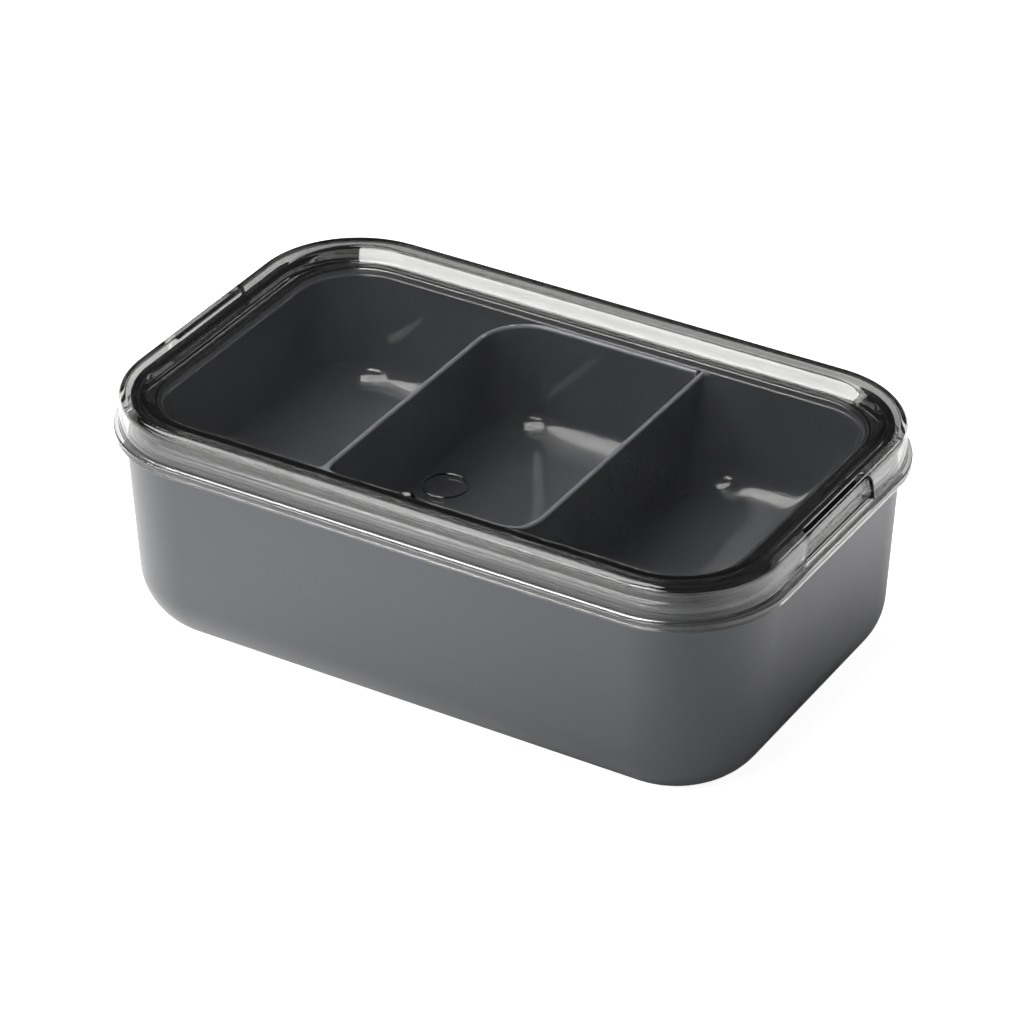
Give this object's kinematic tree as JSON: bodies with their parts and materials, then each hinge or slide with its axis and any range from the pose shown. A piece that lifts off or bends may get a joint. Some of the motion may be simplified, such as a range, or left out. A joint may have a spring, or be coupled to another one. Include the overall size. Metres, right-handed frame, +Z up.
{
  "type": "lunch box",
  "caption": "Rectangular lunch box with rounded corners, a smoked clear press-on lid with a raised rim, and a lift-out tray split by two bent dividers",
  "frame": {"origin": "middle of the flat underside, on the surface that the box stands on", "axes": "+X along the long side, +Y to the back, +Z up through the lid"},
  "size_m": [0.205, 0.129, 0.073],
  "materials": {
    "body_plastic": "satin moulded polypropylene, dark grey",
    "tray_plastic": "satin moulded polypropylene, dark grey",
    "divider_plastic": "satin moulded polypropylene, dark grey",
    "clear_plastic": "polished clear plastic with a smoke tint",
    "seal_silicone": "clear silicone, slightly milky"
  },
  "bodies": {
    "box": {"box_body": "body_plastic"},
    "tray": {"inner_tray": "tray_plastic"},
    "left_divider": {"divider_left": "divider_plastic"},
    "right_divider": {"divider_right": "divider_plastic"},
    "lid": {"lid": "clear_plastic", "lid_seal": "seal_silicone"}
  },
  "joints": [
    {"name": "lid_lift", "type": "slide", "parent": "box", "child": "lid", "axis": [0, 0, 1], "range_m": [0, 0.12]},
    {"name": "tray_lift", "type": "slide", "parent": "box", "child": "tray", "axis": [0, 0, 1], "range_m": [0, 0.06]},
    {"name": "left_divider_slide", "type": "slide", "parent": "tray", "child": "left_divider", "axis": [-1, 0, 0], "range_m": [0, 0.025]},
    {"name": "right_divider_slide", "type": "slide", "parent": "tray", "child": "right_divider", "axis": [1, 0, 0], "range_m": [0, 0.025]}
  ],
  "couplings": [
    {"joint": "tray_lift", "follows": "lid_lift", "ratio": 0.5}
  ]
}
